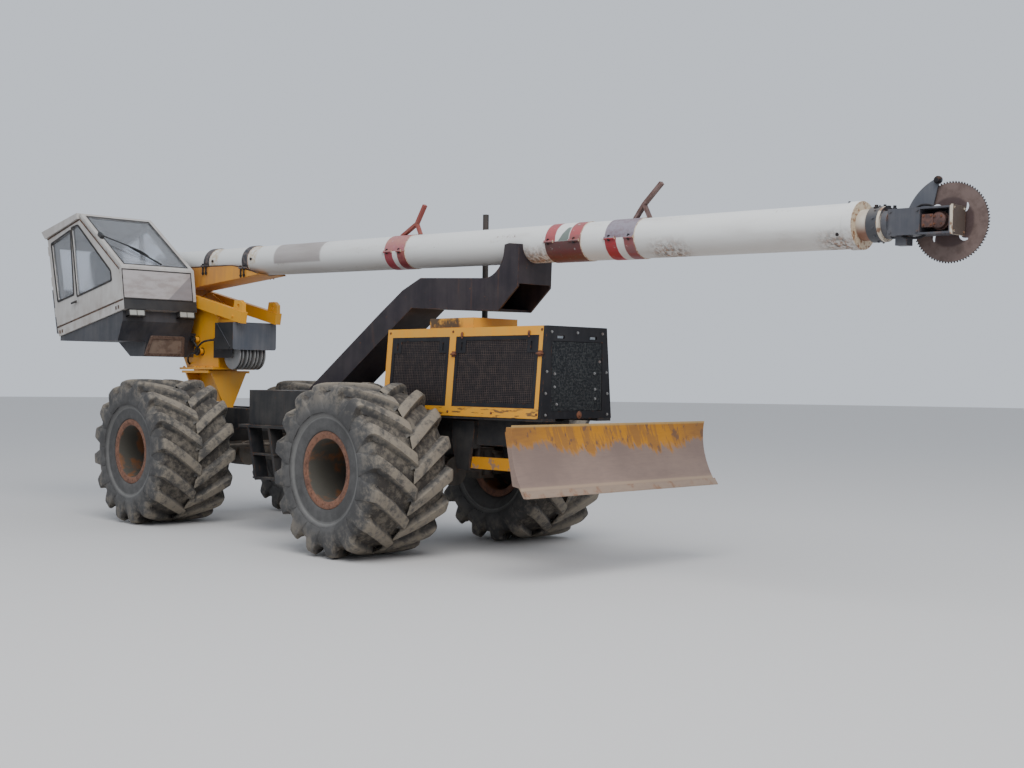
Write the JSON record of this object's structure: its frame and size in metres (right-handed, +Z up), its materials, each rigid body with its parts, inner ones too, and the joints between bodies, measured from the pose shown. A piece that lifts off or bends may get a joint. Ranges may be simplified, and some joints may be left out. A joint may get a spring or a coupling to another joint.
{
  "type": "tree trimming machine",
  "caption": "Four-wheel carrier with a dozer blade, a turning cab and a telescopic boom that ends in a circular saw.",
  "frame": {"origin": "on the ground below the middle of the overall box", "axes": "+X forwards along the boom to the dozer blade, +Y to the machine's left, +Z up"},
  "size_m": [12.4117, 3.14, 3.768],
  "materials": {
    "frame_black": "worn satin",
    "axle_iron": "greasy and rusty",
    "hood_yellow": "faded satin",
    "mesh_black": "matt mesh",
    "engine_iron": "matt",
    "exhaust_rust": "sooty",
    "rest_black": "worn, rust at the edges",
    "tank_black": "worn satin",
    "turret_yellow": "worn gloss",
    "cradle_tan": "faded matt",
    "boom_white": "dirty white with red bands",
    "inner_white": "dirty satin",
    "deflector_red": "faded matt",
    "head_slate": "worn satin",
    "saw_rust": "rusty",
    "guard_slate": "worn satin",
    "cab_white": "dusty satin",
    "cab_dark": "worn satin",
    "cab_glass": "tinted",
    "seat_black": "worn vinyl",
    "lamp_clear": "clear lens",
    "drum_grey": "dusty",
    "cylinder_black": "oily satin",
    "rod_chrome": "polished",
    "blade_steel": "worn with yellow paint left",
    "edge_steel": "worn bright",
    "rim_rust": "rusty",
    "tyre": "dusty"
  },
  "bodies": {
    "chassis": {"chassis_frame": "frame_black", "front_axle": "axle_iron", "rear_axle": "axle_iron", "engine_block": "engine_iron", "hood_frame": "hood_yellow", "hood_mesh_doors": "mesh_black", "radiator_cover": "mesh_black", "exhaust_stack": "exhaust_rust", "boom_rest": "rest_black", "side_tanks": "tank_black", "side_platforms": "frame_black", "boarding_steps": "frame_black", "turret_stand": "turret_yellow"},
    "blade": {"dozer_blade": "blade_steel", "cutting_edge": "edge_steel"},
    "turret": {"turret_column": "turret_yellow", "drum_guard": "guard_slate", "hose_drums": "drum_grey", "cab_underbody": "cab_dark", "cab_floor": "cab_white", "cab_left_side": "cab_white", "cab_rear_wall": "cab_white", "cab_roof": "cab_white", "cab_front_frame": "cab_white", "cab_glass": "cab_glass", "operator_seat": "seat_black", "work_lamps": "lamp_clear"},
    "door": {"cab_door": "cab_white", "door_glass": "cab_glass"},
    "boom": {"outer_boom": "boom_white", "boom_cradle": "cradle_tan", "line_deflectors": "deflector_red"},
    "inner_boom": {"inner_boom": "inner_white"},
    "head": {"saw_head": "head_slate", "blade_guard": "guard_slate"},
    "saw": {"saw_blade": "saw_rust"},
    "lift_barrel": {"lift_cylinder_barrel": "cylinder_black"},
    "lift_rod": {"lift_cylinder_rod": "rod_chrome"},
    "front_tie_rod": {"front_tie_rod": "axle_iron"},
    "rear_tie_rod": {"rear_tie_rod": "axle_iron"},
    "right_blade_barrel": {"right_blade_cylinder_barrel": "cylinder_black"},
    "right_blade_rod": {"right_blade_cylinder_rod": "rod_chrome"},
    "left_blade_barrel": {"left_blade_cylinder_barrel": "cylinder_black"},
    "left_blade_rod": {"left_blade_cylinder_rod": "rod_chrome"},
    "front_right_knuckle": {"front_right_knuckle": "axle_iron"},
    "front_right_wheel": {"front_right_rim": "rim_rust", "front_right_tyre": "tyre"},
    "front_left_knuckle": {"front_left_knuckle": "axle_iron"},
    "front_left_wheel": {"front_left_rim": "rim_rust", "front_left_tyre": "tyre"},
    "rear_right_knuckle": {"rear_right_knuckle": "axle_iron"},
    "rear_right_wheel": {"rear_right_rim": "rim_rust", "rear_right_tyre": "tyre"},
    "rear_left_knuckle": {"rear_left_knuckle": "axle_iron"},
    "rear_left_wheel": {"rear_left_rim": "rim_rust", "rear_left_tyre": "tyre"}
  },
  "joints": [
    {"name": "front_right_steer", "type": "hinge", "parent": "chassis", "child": "front_right_knuckle", "pos_m": [0.415, -0.56, 0.84], "axis": [0, 0, 1], "range_deg": [-11, 11]},
    {"name": "front_left_steer", "type": "hinge", "parent": "chassis", "child": "front_left_knuckle", "pos_m": [0.415, 0.56, 0.84], "axis": [0, 0, 1], "range_deg": [-11, 11]},
    {"name": "front_tie_rod_pin", "type": "hinge", "parent": "front_right_knuckle", "child": "front_tie_rod", "pos_m": [0.175, -0.56, 0.84], "axis": [0, 0, 1], "range_deg": [-11, 11]},
    {"name": "front_right_wheel_spin", "type": "hinge", "parent": "front_right_knuckle", "child": "front_right_wheel", "pos_m": [0.415, -1.08, 0.84], "axis": [0, 1, 0], "continuous": true},
    {"name": "front_left_wheel_spin", "type": "hinge", "parent": "front_left_knuckle", "child": "front_left_wheel", "pos_m": [0.415, 1.08, 0.84], "axis": [0, 1, 0], "continuous": true},
    {"name": "rear_right_steer", "type": "hinge", "parent": "chassis", "child": "rear_right_knuckle", "pos_m": [-3.395, -0.56, 0.84], "axis": [0, 0, 1], "range_deg": [-11, 11]},
    {"name": "rear_left_steer", "type": "hinge", "parent": "chassis", "child": "rear_left_knuckle", "pos_m": [-3.395, 0.56, 0.84], "axis": [0, 0, 1], "range_deg": [-11, 11]},
    {"name": "rear_tie_rod_pin", "type": "hinge", "parent": "rear_right_knuckle", "child": "rear_tie_rod", "pos_m": [-3.155, -0.56, 0.84], "axis": [0, 0, 1], "range_deg": [-11, 11]},
    {"name": "rear_right_wheel_spin", "type": "hinge", "parent": "rear_right_knuckle", "child": "rear_right_wheel", "pos_m": [-3.395, -1.08, 0.84], "axis": [0, 1, 0], "continuous": true},
    {"name": "rear_left_wheel_spin", "type": "hinge", "parent": "rear_left_knuckle", "child": "rear_left_wheel", "pos_m": [-3.395, 1.08, 0.84], "axis": [0, 1, 0], "continuous": true},
    {"name": "blade_lift", "type": "hinge", "parent": "chassis", "child": "blade", "pos_m": [1.145, 0, 0.915], "axis": [0, -1, 0], "range_deg": [-24.5, 4]},
    {"name": "right_blade_barrel_pin", "type": "hinge", "parent": "chassis", "child": "right_blade_barrel", "pos_m": [1.035, -0.19, 1.12], "axis": [0, -1, 0], "range_deg": [-22.57, 3.94]},
    {"name": "right_blade_rod_slide", "type": "slide", "parent": "right_blade_barrel", "child": "right_blade_rod", "axis": [1, 0, 0], "range_m": [-0.016, 0.0824]},
    {"name": "left_blade_barrel_pin", "type": "hinge", "parent": "chassis", "child": "left_blade_barrel", "pos_m": [1.035, 0.19, 1.12], "axis": [0, -1, 0], "range_deg": [-22.57, 3.94]},
    {"name": "left_blade_rod_slide", "type": "slide", "parent": "left_blade_barrel", "child": "left_blade_rod", "axis": [1, 0, 0], "range_m": [-0.016, 0.0824]},
    {"name": "turret_slew", "type": "hinge", "parent": "chassis", "child": "turret", "pos_m": [-4.035, 0, 1.8], "axis": [0, 0, 1], "range_deg": [-180, 180]},
    {"name": "cab_door_hinge", "type": "hinge", "parent": "turret", "child": "door", "pos_m": [-5.78627, -1.288, 2.33219], "axis": [0.2596, 0, -0.9657], "range_deg": [0, 85]},
    {"name": "boom_lift", "type": "hinge", "parent": "turret", "child": "boom", "pos_m": [-4.985, 0, 2.85], "axis": [0, -1, 0], "range_deg": [0, 75]},
    {"name": "lift_barrel_pin", "type": "hinge", "parent": "turret", "child": "lift_barrel", "pos_m": [-4.385, 0, 1.95], "axis": [0, -1, 0], "range_deg": [-0.5, 6.35]},
    {"name": "lift_rod_slide", "type": "slide", "parent": "lift_barrel", "child": "lift_rod", "axis": [-0.3011, 0, 0.9536], "range_m": [-0.002, 0.3657]},
    {"name": "boom_extend", "type": "slide", "parent": "boom", "child": "inner_boom", "axis": [0.9997, 0, -0.0231], "range_m": [0, 7]},
    {"name": "head_turn", "type": "hinge", "parent": "inner_boom", "child": "head", "pos_m": [5.515, 0, 2.93322], "axis": [0.9997, 0, -0.0231], "range_deg": [-90, 90]},
    {"name": "saw_spin", "type": "hinge", "parent": "head", "child": "saw", "pos_m": [5.904, 0.12, 2.92423], "axis": [0, 1, 0], "continuous": true}
  ],
  "couplings": [
    {"joint": "front_left_steer", "follows": "front_right_steer", "ratio": 1},
    {"joint": "front_tie_rod_pin", "follows": "front_right_steer", "ratio": -1},
    {"joint": "rear_left_steer", "follows": "rear_right_steer", "ratio": 1},
    {"joint": "rear_tie_rod_pin", "follows": "rear_right_steer", "ratio": -1},
    {"joint": "right_blade_barrel_pin", "follows": "blade_lift", "ratio": 0.9089},
    {"joint": "right_blade_rod_slide", "follows": "blade_lift", "m_per_rad": -0.18573},
    {"joint": "left_blade_barrel_pin", "follows": "blade_lift", "ratio": 0.9089},
    {"joint": "left_blade_rod_slide", "follows": "blade_lift", "m_per_rad": -0.18573},
    {"joint": "lift_barrel_pin", "follows": "boom_lift", "ratio": 0.07796},
    {"joint": "lift_rod_slide", "follows": "boom_lift", "m_per_rad": 0.27552}
  ]
}
